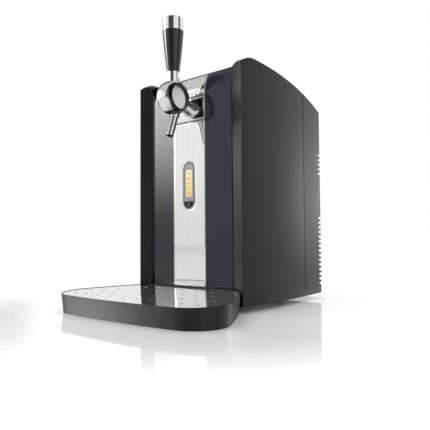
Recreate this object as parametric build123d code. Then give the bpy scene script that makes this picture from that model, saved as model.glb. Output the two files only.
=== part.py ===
from build123d import *
import os
from math import asin, atan2, ceil, cos, degrees, radians, sin, sqrt, tan

# Mini keg beer dispenser: a cooled cabinet with a front door that carries the tap, over a drip tray.
# Millimetres. +X is the viewer's right, the front faces -Y, +Z is up.
# The origin is on the floor, half way between the tray's front edge and the rear screw heads.

# ---------------------------------------------------------------- cabinet
BODY_WIDTH = 234.0        # over the sharp front corners
BODY_DEPTH = 274.0        # front corners to rear wall
BELLY = 6.8               # how far each side bows out beyond its front corner
BELLY_BACK = 110.0        # how far behind the front the side is widest
REAR_TAPER = 0.5          # how far each side has drawn in by the rear wall
REAR_CORNER = 8.0
BASE_BOTTOM = 11.0        # underside of the plinth
PLINTH_TOP = 25.0         # side shells and rear cover stand on the plinth here
PLINTH_INSET = 0.7
WALL = 2.6
FRONT_HEIGHT = 400.0      # top of the front corners
CREST_HEIGHT = 413.5      # highest point of the shoulders
CREST_BACK = 31.0
ARCH_HEIGHT = 399.5       # shoulder height half way to the rear
REAR_HEIGHT = 369.0
SHOULDER_RISE = 6.6       # shoulders above the lid
SHOULDER_WIDTH = 24.0
DOORWAY_HALF = 93.0       # inner edges of the front pillars
PILLAR_SWEEP = 8.9        # how far the pillars' inner edges lie behind the corners
REAR_COVER_DEPTH = 83.0   # rear wall to the seam with the side shells
SEAM_GAP = 2.4
FIT = 0.3                 # clearance between pieces that are screwed or seated together

# ---------------------------------------------------------------- door
HINGE_GAP = 4.6           # pillar to door edge on the hinged side
LATCH_GAP = 1.5           # pillar to door edge on the other side
SLAB_BACK = 23.0          # rear face of the door slab, behind the front corners
PANEL = 3.0               # gloss panels
DOOR_TOP = 401.3
BROW_R = 74.0             # the door curves back by this radius above the strip's upper seam
BROW_SOLID = 9.0          # solid top of the door's frame, where the curve leaves it thin
PANEL_CORNER = 5.0        # top corners of the panels, next to the strip
STRIP_HALF = 36.5         # half width of the polished centre strip
STRIP_BACK = 6.3          # strip's face behind the front corners
STRIP_SHEET = 1.5
SEAM_LOW = 322.3          # seams of the strip
SEAM_HIGH = 363.8
STRIP_SEAM = 1.8
PLUG_HALF = 74.0          # insulated plug on the door's inside
PLUG_DEPTH = 11.0
PLUG_LOW_MARGIN = 10.0    # plug's lower edge above the mouth's
PLUG_HIGH_MARGIN = 32.0   # plug's upper edge below the mouth's, clear of the tap's tail
LINER_SHEET = 1.5
GASKET_WIDTH = 4.5
LATCH_X = (60.0, 80.0)    # magnet and its keeper
LATCH_Z = (372.0, 384.0)
KEEPER = 1.0
HINGE_BACK = 11.0         # hinge pin behind the front corners
HINGE_Z = (56.0, 386.0)
KNUCKLES = 5
KNUCKLE_GAP = 0.4
HINGE_CLEAR = 2.2         # leaf plates stay this far from the pin's centre
DOOR_EDGE_ROUND = 2.0     # lets the door's edge pass the pillar
HINGE_PIN_R = 1.1
HINGE_BARREL_R = 1.9
HINGE_RUNNING = 0.05
HINGE_LEAF = 1.2

# ---------------------------------------------------------------- keg chamber and insulation
MOUTH_HALF = 83.0
CHAMBER_RADIUS = 88.0     # takes a small keg of about 165 mm diameter
CHAMBER_FLOOR = 48.0
CHAMBER_TOP = 360.0
FRAME_BACK = 28.0         # front face of the inner front frame
FRAME_SHEET = 3.0
REAR_ROOM = 52.0          # compartment for the cooling pack, in front of the rear wall
INSULATION_BACK = 7.2     # insulation behind the round back of the chamber
CEILING = 4.0
COUPLER_R = 32.0
COUPLER_HEIGHT = 24.0

# ---------------------------------------------------------------- cooling pack
SINK_WIDTH = 92.0
SINK_HEIGHT = 100.0
SINK_BASE = 4.0
FIN_DEPTH = 17.0
FIN_SHEET = 1.4
FIN_COUNT = 12
SINK_Z = 190.0
FAN_SIZE = 80.0
FAN_DEPTH = 15.0
FAN_BORE_R = 37.0
FAN_HUB_R = 15.0
BLADES = 7

# ---------------------------------------------------------------- tap
BALL_R = 27.5
BALL_FORWARD = 32.3       # ball centre in front of the front corners
BALL_Z = 355.4
TAP_TILT = 18.3           # shank rises and spout leans by this angle
SHANK_R = 12.0
SHANK_BORE_R = 3.4
FLANGE_R = 15.5
FLANGE = 2.0
STUB_R = 8.0
CHEEK_CUT = 17.5          # flats on the ball's sides
CHEEK_RECESS_R = 20.6
CHEEK_FLOOR = 4.6         # recess floor, from the middle plane
CHEEK_DISC = 4.2          # dished disc in the recess, at its rim
CHEEK_DISH = 3.6          # how deep the disc is dished
CHEEK_RIM = 0.6           # flat edge round the dish
SLOT_HALF = 3.5           # slot in the ball for the lever's web
WEB_HALF_ANGLE = 11.0
HUB_R = 5.2
PIN_R = 2.5
LEVER_OPEN = 45.0         # how far the handle is pulled forward to pour
SADDLE_INNER_R = 28.1
SADDLE_OUTER_R = 30.0
SADDLE_R = 16.3           # saddle under the collar, seen from above
STRAP_HALF = 12.2
STRAP_END = 108.0         # strap's lower end, from the vertical
SHIELD_OUTER_R = 27.8
SHIELD_INNER_R = 26.0
SHIELD_START = 70.0
SHIELD_END = 150.0
COLLAR_R = 10.35
COLLAR_TOP = 400.5
GRIP_NECK_R = 10.85
GRIP_HEAD_R = 18.0
GRIP_BULGE = 0.5
CAP_TOP = 494.0
CAP_HEIGHT = 24.6
CAP_DOME = 3.0
ROD_R = 4.0
SPOUT_R = 6.6
SPOUT_BORE_R = 4.8
SPOUT_END = 64.3          # spout's mouth, from where its axis meets the shank's
SPOUT_START = 20.3
ELBOW = 12.4              # spout's axis behind the ball's centre
SHANK_START = 21.3
SPOUT_FLANGE_R = 8.2
SPOUT_FLANGE_END = 28.8

# ---------------------------------------------------------------- display and button
DISPLAY_HALF = 12.4
DISPLAY_BOTTOM = 170.5
DISPLAY_TOP = 252.0
BEZEL_WALL = 1.7
BEZEL_PROUD = 0.9
DISPLAY_DEPTH = 9.0
LCD_HALF = 6.7
LCD_BOTTOM = 192.0
LCD_TOP = 238.0
LED_R = 0.9
LED_Z = 187.4
BUTTON_TRAVEL = 1.2
BUTTON_PROUD = 1.4

# ---------------------------------------------------------------- drip tray
TRAY_OUT = 165.0          # how far the tray stands out in front of the cabinet
TRAY_FRONT_HALF = 197.0   # half width at the front, before its corners are rounded
TRAY_REAR_HALF = 117.0
TRAY_BOW = 15.5           # the middle of the front edge stands this far before its ends
TRAY_FRONT_ROUND = 52.0
TRAY_REAR_ROUND = 34.0
TRAY_REAR_BOW = 8.6       # the middle of the rear edge reaches this far in under the door
TRAY_GAP = 2.3            # tray to front corners
TRAY_FRONT_TOP = 30.0     # rim height at the front
TRAY_REAR_TOP = 36.0
TRAY_DRAFT = 6.5
DOOR_CLEAR = 1.6          # the door swings this far above the tray's rim
TRAY_RIM = 2.2
TRAY_FLOOR = 3.0
COVER_SHEET = 1.2
COVER_SINK = 0.6          # cover's face below the rim
COVER_LEDGE = 5.0
HOLE_R = 2.6
HOLE_PITCH_X = 30.0
HOLE_PITCH_Y = 33.5
HOLE_MARGIN = 16.0
TONGUE_X = 50.0           # tongues that hook the tray under the cabinet's base
TONGUE_HALF = 12.0
TONGUE_SHEET = 3.0
TONGUE_ROOT = 1.0         # tongues start in the tray's rear wall, in front of the front corners
TONGUE_REACH = 25.0

# ---------------------------------------------------------------- feet, vents, services
FOOT_R = 9.0
FOOT_INSET_X = 66.0
FOOT_INSET_FRONT = 40.0
FOOT_INSET_REAR = 60.0
FOOT_SINK = 1.5
BASE_SHEET = 3.0
VENT_PITCH = 9.2
VENT_SLOT = 4.8
VENT_DEPTH = 16.0         # how far the slots run in from the rear corner
VENT_MULLION_HALF = 18.0  # plain stretch in the middle of the rear wall
LOW_VENT_Z = 29.4         # centre height of the lowest slot
LOW_VENT_COUNT = 15
HIGH_VENT_Z = 247.4
HIGH_VENT_COUNT = 5
PUMP_INSET = 41.0         # pump's axis from the width over the front corners
PUMP_R = 14.0
PUMP_HEIGHT = 65.0
PUMP_CLEAR = 10.0         # pump above the heat sink
BOARD_INSET = 29.0        # boards' outer edges, from the width over the front corners
BOARD_WIDTH = 60.0
BOARD_HEIGHT = 90.0
BOARD_LOW = 40.0
INLET_INSET = 47.0
INLET_Z = 205.0
SCREW_R = 1.5
SCREW_HEAD_R = 3.2
SCREW_HEAD = 2.0
SCREW_X = 60.0
SCREW_LOW = 225.0
SCREW_HIGH = 330.0

FRONT = (TRAY_OUT - BODY_DEPTH - SCREW_HEAD) / 2
REAR = FRONT + BODY_DEPTH
DOOR_BOTTOM = TRAY_REAR_TOP + DOOR_CLEAR
SEAM_BACK = BODY_DEPTH - REAR_COVER_DEPTH
FOAM_REAR = BODY_DEPTH - REAR_ROOM
GRIP_TOP = CAP_TOP - CAP_HEIGHT
INLET_X = INLET_INSET - BODY_WIDTH / 2


def fy(distance):
    """Y of a point that lies this far behind the cabinet's front corners."""
    return FRONT + distance


def block(x_range, y_range, z_range):
    size = [high - low for low, high in (x_range, y_range, z_range)]
    middle = [(high + low) / 2 for low, high in (x_range, y_range, z_range)]
    return Pos(*middle) * Box(*size)


def rod(start, end, radius):
    axis = Vector(*end) - Vector(*start)
    return extrude(Plane(origin=start, z_dir=axis) * Circle(radius), axis.length)


def mirrored(shape):
    return mirror(shape, Plane.YZ)


def save(node, shape):
    export_step(shape, f"parts/{node}.step")


# ================================================================ cabinet outline
def plan_face(inset=0.0):
    """Cabinet seen from above: swept front pillars, bowed sides and round rear corners."""
    corner = (BODY_WIDTH / 2, FRONT)
    belly = (BODY_WIDTH / 2 + BELLY, fy(BELLY_BACK))
    rear = (BODY_WIDTH / 2 - REAR_TAPER, REAR)
    pillar = Line((DOORWAY_HALF, fy(PILLAR_SWEEP)), corner)
    side = ThreePointArc(corner, belly, rear)
    front = Line((-DOORWAY_HALF, fy(PILLAR_SWEEP)), (DOORWAY_HALF, fy(PILLAR_SWEEP)))
    back = Line((-rear[0], REAR), rear)
    face = make_face([pillar, side, front, back, mirrored(pillar), mirrored(side)])
    face = fillet(face.vertices().group_by(Axis.Y)[-1], REAR_CORNER)
    return offset(face, -inset, kind=Kind.INTERSECTION) if inset else face


def side_profile(drop=0.0, top=False):
    """Cabinet seen from the side: everything below the shoulders' arch, or the air above it."""
    nose = (FRONT, FRONT_HEIGHT - drop)
    crest = (fy(CREST_BACK), CREST_HEIGHT - drop)
    middle = (fy((CREST_BACK + BODY_DEPTH) / 2), ARCH_HEIGHT - drop)
    tail = (REAR, REAR_HEIGHT - drop)
    rise = TangentArc(crest, nose, tangent=(-1, 0))
    arch = ThreePointArc(crest, middle, tail)
    level = CREST_HEIGHT * 2 if top else -CREST_HEIGHT
    outer = Polyline(tail, (REAR + CREST_BACK, tail[1]), (REAR + CREST_BACK, level),
                     (FRONT - CREST_BACK, level), (FRONT - CREST_BACK, nose[1]), nose)
    return Plane.YZ * make_face([rise, arch, outer])


def cabinet_block(inset=0.0):
    """Solid cabinet, drawn in by inset, with the lid's channel between its shoulders."""
    solid = extrude(plan_face(inset), CREST_HEIGHT + WALL)
    solid &= extrude(side_profile(inset), BODY_WIDTH, both=True)
    air = side_profile(SHOULDER_RISE + inset, top=True)
    half = DOORWAY_HALF + inset
    channel = extrude(air, half, both=True)
    lean = degrees(atan2(SHOULDER_RISE + 2 * WALL, SHOULDER_WIDTH))
    slope = extrude(Pos(half, 0, 0) * air, SHOULDER_WIDTH, taper=lean)
    return solid - channel - slope - mirrored(slope)


def cabinet_skin():
    """Closed skin of the cabinet, open underneath."""
    inner = cabinet_block(WALL)
    room = inner + extrude(plan_face(WALL), PLINTH_TOP + WALL)
    skin = cabinet_block() - room
    return skin - block((-BODY_WIDTH, BODY_WIDTH), (FRONT - 1, REAR + 1), (-1, PLINTH_TOP))


def lid_height(distance):
    """Height of the lid's outside, this far behind the front, from the arch's three points."""
    start = (CREST_BACK, CREST_HEIGHT)
    middle = ((CREST_BACK + BODY_DEPTH) / 2, ARCH_HEIGHT)
    end = (BODY_DEPTH, REAR_HEIGHT)
    total = 0.0
    for one, two, three in ((start, middle, end), (middle, start, end), (end, start, middle)):
        share = (distance - two[0]) * (distance - three[0]) / (one[0] - two[0]) / (one[0] - three[0])
        total += one[1] * share
    return total - SHOULDER_RISE


def vents(shape):
    """Cut the two groups of horizontal slots round both rear corners."""
    reach = BODY_WIDTH / 2 + BELLY
    for lowest, count in ((LOW_VENT_Z, LOW_VENT_COUNT), (HIGH_VENT_Z, HIGH_VENT_COUNT)):
        for step in range(count):
            z = lowest + step * VENT_PITCH
            slot = block((VENT_MULLION_HALF, reach), (REAR - VENT_DEPTH, REAR + 1),
                         (z - VENT_SLOT / 2, z + VENT_SLOT / 2))
            shape = shape - slot - mirrored(slot)
    return shape


skin = cabinet_skin()
seam = fy(SEAM_BACK)
tall = (-1, CREST_HEIGHT + 1)
right_zone = block((DOORWAY_HALF, BODY_WIDTH), (FRONT - 1, seam - SEAM_GAP / 2), tall)
side_shell = skin & right_zone
lid_front = fy(SLAB_BACK + FIT)
lid_half = DOORWAY_HALF - FIT
lid_zone = block((-lid_half, lid_half), (lid_front, seam - SEAM_GAP / 2), (FRONT_HEIGHT / 2, tall[1]))
top_lid = skin & lid_zone
rear_cover = vents(skin & block((-BODY_WIDTH, BODY_WIDTH), (seam + SEAM_GAP / 2, REAR + 1), tall))

inlet_size = (27.0, 20.0)
inlet_hole = block((INLET_X - inlet_size[0] / 2, INLET_X + inlet_size[0] / 2), (REAR - 2 * WALL, REAR + 1),
                   (INLET_Z - inlet_size[1] / 2, INLET_Z + inlet_size[1] / 2))
rear_cover -= inlet_hole
screw_spots = [(x, z) for x in (-SCREW_X, SCREW_X) for z in (SCREW_LOW, SCREW_HIGH)]
for x, z in screw_spots:
    rear_cover -= rod((x, REAR + 1, z), (x, REAR - 2 * WALL, z), SCREW_R + FIT / 3)

# ================================================================ base, feet and front frame
INNER = WALL + FIT
base_z = (BASE_BOTTOM, BASE_BOTTOM + BASE_SHEET)
skirt_height = PLINTH_TOP - FIT - BASE_BOTTOM
base = Pos(0, 0, base_z[0]) * extrude(plan_face(WALL), BASE_SHEET)
base += Pos(0, 0, base_z[0]) * (extrude(plan_face(PLINTH_INSET), skirt_height) -
                                extrude(plan_face(WALL), skirt_height))
apron_half = DOORWAY_HALF - FIT
apron_y = (fy(PILLAR_SWEEP), fy(PILLAR_SWEEP + BASE_SHEET))
base += block((-apron_half, apron_half), apron_y, (base_z[0], DOOR_BOTTOM - 2 * FIT))
foot_x = BODY_WIDTH / 2 - FOOT_INSET_X
foot_spots = [(x, y) for x in (-foot_x, foot_x) for y in (fy(FOOT_INSET_FRONT), REAR - FOOT_INSET_REAR)]
feet = []
for x, y in foot_spots:
    base -= rod((x, y, 0), (x, y, base_z[0] + FOOT_SINK), FOOT_R + FIT)
    pad = rod((x, y, 0), (x, y, base_z[0] + FOOT_SINK), FOOT_R)
    feet.append(chamfer(pad.edges().group_by(Axis.Z)[0], 1.0))

frame_y = (fy(FRAME_BACK), fy(FRAME_BACK + FRAME_SHEET))
mouth_z = (CHAMBER_FLOOR, CHAMBER_TOP)
frame_top = lid_height(FRAME_BACK + FRAME_SHEET) - 3 * WALL
front_frame = extrude(plan_face(INNER), frame_top)
front_frame &= block((-BODY_WIDTH, BODY_WIDTH), frame_y, (base_z[1] + FIT, frame_top))
front_frame -= block((-MOUTH_HALF, MOUTH_HALF), (frame_y[0] - 1, frame_y[1] + 1), mouth_z)

# ================================================================ keg chamber
chamber_y = frame_y[1] + FIT
round_y = fy(FOAM_REAR - INSULATION_BACK - LINER_SHEET - CHAMBER_RADIUS)


def chamber_face(grow):
    radius = CHAMBER_RADIUS + grow
    back = ThreePointArc((radius, round_y), (0, round_y + radius), (-radius, round_y))
    sides = Polyline((-radius, round_y), (-radius, chamber_y), (radius, chamber_y), (radius, round_y))
    return make_face([back, sides])


liner_bottom = CHAMBER_FLOOR - LINER_SHEET
liner = Pos(0, 0, liner_bottom) * extrude(chamber_face(LINER_SHEET), CHAMBER_TOP - liner_bottom)
liner -= Pos(0, 0, CHAMBER_FLOOR) * extrude(chamber_face(0), CHAMBER_TOP)

foam_z = (base_z[1] + FIT, CHAMBER_TOP)
foam = extrude(plan_face(INNER), foam_z[1])
foam &= block((-BODY_WIDTH, BODY_WIDTH), (chamber_y, fy(FOAM_REAR)), foam_z)
foam -= Pos(0, 0, liner_bottom - FIT) * extrude(chamber_face(LINER_SHEET + FIT), CHAMBER_TOP)

ceiling_z = (CHAMBER_TOP + FIT, CHAMBER_TOP + FIT + CEILING)
ceiling = extrude(plan_face(INNER), ceiling_z[1])
ceiling &= block((-BODY_WIDTH, BODY_WIDTH), (chamber_y, fy(FOAM_REAR)), ceiling_z)
pipe_r = 2.0
ceiling -= rod((0, round_y, ceiling_z[0] - 1), (0, round_y, ceiling_z[1] + 1), pipe_r + FIT)

coupler_z = (ceiling_z[0] - FIT - COUPLER_HEIGHT, ceiling_z[0] - FIT)
coupler = rod((0, round_y, coupler_z[0]), (0, round_y, coupler_z[1]), COUPLER_R)
coupler = fillet(coupler.edges().group_by(Axis.Z)[0], 3.0)
coupler -= rod((0, round_y, coupler_z[0] - 1), (0, round_y, coupler_z[1] - 6.0), COUPLER_R * 0.6)
coupler -= rod((0, round_y, coupler_z[0]), (0, round_y, coupler_z[1] + 1), pipe_r + FIT)

# ================================================================ cooling pack
cold_half = 20.0
cold_start = round_y + sqrt(CHAMBER_RADIUS**2 - cold_half**2) + LINER_SHEET + FIT
cold_y = (cold_start, fy(FOAM_REAR))
window = (SINK_Z - cold_half, SINK_Z + cold_half)
cold_block = block((-cold_half, cold_half), cold_y, window)
cold_curve = CHAMBER_RADIUS + LINER_SHEET + FIT
cold_block -= rod((0, round_y, window[0] - 1), (0, round_y, window[1] + 1), cold_curve)
foam -= block((-cold_half - FIT, cold_half + FIT), (round_y, fy(FOAM_REAR) + 1),
              (window[0] - FIT, window[1] + FIT))
cooler_y = (cold_y[1] + FIT, cold_y[1] + FIT + 3.9)
cooler_module = block((-cold_half, cold_half), cooler_y, window)
sink_y = (cooler_y[1] + FIT, cooler_y[1] + FIT + SINK_BASE)
sink_z = (SINK_Z - SINK_HEIGHT / 2, SINK_Z + SINK_HEIGHT / 2)
heat_sink = block((-SINK_WIDTH / 2, SINK_WIDTH / 2), sink_y, sink_z)
for number in range(FIN_COUNT):
    x = -SINK_WIDTH / 2 + number * (SINK_WIDTH - FIN_SHEET) / (FIN_COUNT - 1)
    heat_sink += block((x, x + FIN_SHEET), (sink_y[1], sink_y[1] + FIN_DEPTH), sink_z)
fan_y = (sink_y[1] + FIN_DEPTH + FIT, sink_y[1] + FIN_DEPTH + FIT + FAN_DEPTH)
fan_z = (SINK_Z - FAN_SIZE / 2, SINK_Z + FAN_SIZE / 2)
fan_frame = block((-FAN_SIZE / 2, FAN_SIZE / 2), fan_y, fan_z)
fan_frame = fillet(fan_frame.edges().filter_by(Axis.Y), 4.0)
fan_frame -= rod((0, fan_y[0] - 1, SINK_Z), (0, fan_y[1] + 1, SINK_Z), FAN_BORE_R)
spoke_y = (fan_y[0], fan_y[0] + 2.0)
for angle in (45, 135):
    spoke = block((-FAN_BORE_R - 1, FAN_BORE_R + 1), spoke_y, (-2.0, 2.0))
    fan_frame += Pos(0, 0, SINK_Z) * (Rot(0, angle, 0) * spoke)
fan_frame += rod((0, spoke_y[0], SINK_Z), (0, spoke_y[1], SINK_Z), FAN_HUB_R)
axle_r = 1.5
fan_frame += rod((0, spoke_y[1], SINK_Z), (0, fan_y[1] - 2.0, SINK_Z), axle_r)
rotor_y = (spoke_y[1] + FIT, fan_y[1] - 1.0)
fan_rotor = rod((0, rotor_y[0], SINK_Z), (0, rotor_y[1], SINK_Z), FAN_HUB_R)
blade = block((FAN_HUB_R - 1, FAN_BORE_R - 1.2), (-0.8, 0.8), (-7.0, 7.0))
for number in range(BLADES):
    turned = Rot(0, number * 360 / BLADES, 0) * (Rot(35, 0, 0) * (Rot(90, 0, 0) * blade))
    fan_rotor += Pos(0, sum(rotor_y) / 2, SINK_Z) * turned
fan_rotor &= block((-FAN_SIZE / 2, FAN_SIZE / 2), rotor_y, fan_z)
fan_rotor -= rod((0, rotor_y[0] - 1, SINK_Z), (0, fan_y[1] - 2.0 + FIT, SINK_Z), axle_r + HINGE_RUNNING)

# ================================================================ services in the rear compartment
rear_room = fy(FOAM_REAR) + FIT
pump_x = BODY_WIDTH / 2 - PUMP_INSET
pump_y = rear_room + PUMP_R + 3.0
pump_z = (sink_z[1] + PUMP_CLEAR, sink_z[1] + PUMP_CLEAR + PUMP_HEIGHT)
air_pump = rod((pump_x, pump_y, pump_z[0]), (pump_x, pump_y, pump_z[1]), PUMP_R)
air_pump += rod((pump_x, pump_y, pump_z[1]), (pump_x, pump_y, pump_z[1] + 8.0), pipe_r + 1.2)
bracket_x = (pump_x - PUMP_R - 2, pump_x + PUMP_R + 2)
pump_bracket = block(bracket_x, (rear_room, rear_room + 1.5), (pump_z[0] - 4, pump_z[1] - 4))
pump_bracket += block(bracket_x, (rear_room, pump_y + PUMP_R), (pump_z[0] - 4, pump_z[0] - FIT))

bend = 3.2
pipe_z = ceiling_z[1] + bend + FIT / 3
route = [(pump_x, pump_y, pump_z[1] + 8.0 + FIT), (pump_x, pump_y, pipe_z), (0, round_y, pipe_z),
         (0, round_y, coupler_z[1] - 6.0)]
path = FilletPolyline(*route, radius=bend)
air_pipe = sweep(Plane(origin=route[0], z_dir=(0, 0, 1)) * Circle(pipe_r), path=path)

board_sheet = 1.6
board_edge = BODY_WIDTH / 2 - BOARD_INSET
board_face = rear_room + board_sheet
board_x = (board_edge - BOARD_WIDTH, board_edge)
board_z = (BOARD_LOW, BOARD_LOW + BOARD_HEIGHT)


def on_board(x, z, size, height):
    """Component on a board, its corner this far in from the board's outer edge and up from its foot."""
    return block((board_edge - x - size[0], board_edge - x), (board_face, board_face + height),
                 (BOARD_LOW + z, BOARD_LOW + z + size[1]))


control_board = block(board_x, (rear_room, board_face), board_z)
control_board += on_board(32.0, 20.0, (16.0, 16.0), 3.0) + on_board(8.0, 56.0, (16.0, 24.0), 9.0)
power_board = block(board_x, (rear_room, board_face), board_z) + on_board(38.0, 48.0, (16.0, 28.0), 18.0)
for x, z, radius, height in ((14.0, 20.0, 6.5, 22.0), (32.0, 20.0, 6.5, 22.0), (14.0, 44.0, 5.0, 16.0)):
    foot = (board_edge - x, board_face, BOARD_LOW + z)
    power_board += rod(foot, (foot[0], board_face + height, foot[2]), radius)
power_board = mirrored(power_board)

inlet_x = (INLET_X - inlet_size[0] / 2 + FIT, INLET_X + inlet_size[0] / 2 - FIT)
inlet_z = (INLET_Z - inlet_size[1] / 2 + FIT, INLET_Z + inlet_size[1] / 2 - FIT)
mains_inlet = block(inlet_x, (REAR - 22.0, REAR + 0.5), inlet_z)
mains_inlet += block((inlet_x[0] - 2, inlet_x[1] + 2), (REAR - INNER - 2.0, REAR - INNER),
                     (inlet_z[0] - 2, inlet_z[1] + 2))
mains_inlet -= block((inlet_x[0] + 2, inlet_x[1] - 2), (REAR - 16.0, REAR + 2),
                     (inlet_z[0] + 2, inlet_z[1] - 2))
for x in (-7.0, 0.0, 7.0):
    mains_inlet += block((INLET_X + x - 1, INLET_X + x + 1), (REAR - 17.0, REAR - 3.0),
                         (INLET_Z - 2, INLET_Z + 2))

rear_screws = []
for x, z in screw_spots:
    screw = rod((x, REAR, z), (x, REAR + SCREW_HEAD, z), SCREW_HEAD_R)
    rear_screws.append(screw + rod((x, REAR, z), (x, REAR - 12.0, z), SCREW_R))

# ================================================================ door
door_x = (-DOORWAY_HALF + HINGE_GAP, DOORWAY_HALF - LATCH_GAP)
core_x = (door_x[0] + FIT / 2, door_x[1] - FIT / 2)
core_front = PILLAR_SWEEP + PANEL + FIT
core_z = (DOOR_BOTTOM, DOOR_TOP - PANEL - FIT)
core_y = (fy(core_front), fy(SLAB_BACK))
core_wall = 2.4


def door_bulk(back, shrink):
    """Everything behind the door's front, drawn in by shrink: upright, then a brow that curves back.
    Its face lies this far behind the front corners."""
    radius = BROW_R - shrink
    top = DOOR_TOP - shrink
    lean = asin((top - SEAM_HIGH) / radius)
    bow = [(fy(back + BROW_R) - radius * cos(angle), SEAM_HIGH + radius * sin(angle))
           for angle in (0, lean / 2, lean)]
    rear = fy(back + BROW_R)
    outer = Polyline(bow[2], (rear, top), (rear, 0), (bow[0][0], 0), bow[0])
    return extrude(Plane.YZ * make_face([ThreePointArc(*bow), outer]), BODY_WIDTH, both=True)


core_skin = PANEL + FIT
strip_skin = STRIP_SHEET + FIT
pad_half = STRIP_HALF - FIT
door_frame = block(core_x, core_y, core_z) & door_bulk(PILLAR_SWEEP, core_skin)
pad = block((-pad_half, pad_half), (fy(STRIP_BACK), core_y[1]), (core_z[0], DOOR_TOP))
door_frame += pad & door_bulk(STRIP_BACK, strip_skin)
cavity = block((core_x[0] + core_wall, core_x[1] - core_wall), (core_y[0], core_y[1] + 1),
               (core_z[0] + core_wall, core_z[1] - BROW_SOLID))
door_frame -= cavity & door_bulk(PILLAR_SWEEP, core_skin + core_wall)

panel_edge = STRIP_HALF + FIT


def door_panel(outer_x):
    """Gloss panel from the strip's edge to the door's edge, swept back a little and over the brow."""
    sign = 1 if outer_x > 0 else -1
    near = sign * panel_edge
    sweep_angle = sign * degrees(atan2(PILLAR_SWEEP - STRIP_BACK, abs(outer_x) - panel_edge))
    trim = block(tuple(sorted((near, outer_x))), (FRONT, core_y[1]), (DOOR_BOTTOM, DOOR_TOP))
    corner = trim.edges().filter_by(Axis.Y).group_by(Axis.Z)[-1].sort_by(Axis.X)[0 if sign > 0 else -1]
    turn = Pos(near, fy(STRIP_BACK), 0) * Rot(0, 0, sweep_angle) * Pos(0, -fy(STRIP_BACK), 0)
    shell = turn * (door_bulk(STRIP_BACK, 0) - door_bulk(STRIP_BACK, PANEL))
    return shell & fillet(corner, PANEL_CORNER)


panel_right = door_panel(door_x[1])
panel_left = door_panel(door_x[0])
left_edge = panel_left.edges().filter_by(Axis.Z).group_by(Axis.X)[0].sort_by(Axis.Y)[0]
panel_left = fillet(left_edge, DOOR_EDGE_ROUND)

strip_y = (fy(STRIP_BACK), fy(STRIP_BACK + STRIP_SHEET))
strip_x = (-STRIP_HALF, STRIP_HALF)
seam_half = STRIP_SEAM / 2
strip_lower = block(strip_x, strip_y, (DOOR_BOTTOM, SEAM_LOW - seam_half))
tap_plate = block(strip_x, strip_y, (SEAM_LOW + seam_half, SEAM_HIGH - seam_half))
strip_upper = block(strip_x, (strip_y[0], core_y[1]), (SEAM_HIGH + seam_half, DOOR_TOP))
strip_upper &= door_bulk(STRIP_BACK, 0) - door_bulk(STRIP_BACK, STRIP_SHEET)

# ---------------------------------------------------------------- display and power button
foot_centre = DISPLAY_BOTTOM + DISPLAY_HALF
head_centre = DISPLAY_TOP - DISPLAY_HALF


def stadium(radius, y_range):
    """Upright slot shape of the display, its round ends about the same two centres."""
    shape = block((-radius, radius), y_range, (foot_centre, head_centre))
    for z in (foot_centre, head_centre):
        shape += rod((0, y_range[0], z), (0, y_range[1], z), radius)
    return shape


bezel_y = (strip_y[0] - BEZEL_PROUD, strip_y[0] + DISPLAY_DEPTH)
opening_y = (strip_y[0] - 1, bezel_y[1] + FIT)
strip_lower -= stadium(DISPLAY_HALF + FIT / 2, opening_y)
door_frame -= stadium(DISPLAY_HALF + FIT, opening_y)
inner_r = DISPLAY_HALF - BEZEL_WALL
bezel = stadium(DISPLAY_HALF, bezel_y) - stadium(inner_r, (bezel_y[0] - 1, bezel_y[1] + 1))
divider_z = (foot_centre, foot_centre + BEZEL_WALL)
bezel += block((-inner_r, inner_r), bezel_y, divider_z)

window_y = (strip_y[0] - BEZEL_PROUD / 3, strip_y[0] + 2.0)
display_window = stadium(inner_r - FIT / 2, window_y)
display_window -= block((-inner_r, inner_r), (window_y[0] - 1, window_y[1] + 1), (0, divider_z[1] + FIT / 2))
lcd_hole = (-LCD_HALF - FIT / 3, LCD_HALF + FIT / 3), (LCD_BOTTOM - FIT / 3, LCD_TOP + FIT / 3)
display_window -= block(lcd_hole[0], (window_y[0] - 1, window_y[1] + 1), lcd_hole[1])
display_window -= rod((0, window_y[0] - 1, LED_Z), (0, window_y[1] + 1, LED_Z), LED_R + FIT / 3)
lcd = block((-LCD_HALF, LCD_HALF), (window_y[0], window_y[1] + 2.0), (LCD_BOTTOM, LCD_TOP))
board_y = (window_y[1] + 2.0 + FIT, window_y[1] + 2.0 + FIT + board_sheet)
display_board = block((-inner_r + FIT, inner_r - FIT), board_y, (divider_z[1] + FIT, head_centre))
led = rod((0, window_y[0], LED_Z), (0, board_y[0] - FIT, LED_Z), LED_R)
button_y = (strip_y[0] - BUTTON_PROUD, board_y[0] - BUTTON_TRAVEL)
button_r = inner_r - FIT
power_button = rod((0, button_y[0], foot_centre), (0, button_y[1], foot_centre), button_r)
power_button = fillet(power_button.edges().group_by(Axis.Y)[0], 0.8)
power_button -= block((-inner_r, inner_r), (button_y[0] - 1, button_y[1] + 1),
                      (divider_z[0] - FIT, divider_z[1] + inner_r))
switch_y = (button_y[1] + BUTTON_TRAVEL + FIT, bezel_y[1])
button_switch = block((-3.0, 3.0), switch_y, (foot_centre - 7.0, foot_centre - 1.5))
switch_tray = stadium(inner_r - FIT / 2, (switch_y[1] - 1.2, switch_y[1]))
button_switch += switch_tray & block((-inner_r, inner_r), switch_y, (0, divider_z[0] - FIT / 2))

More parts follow.
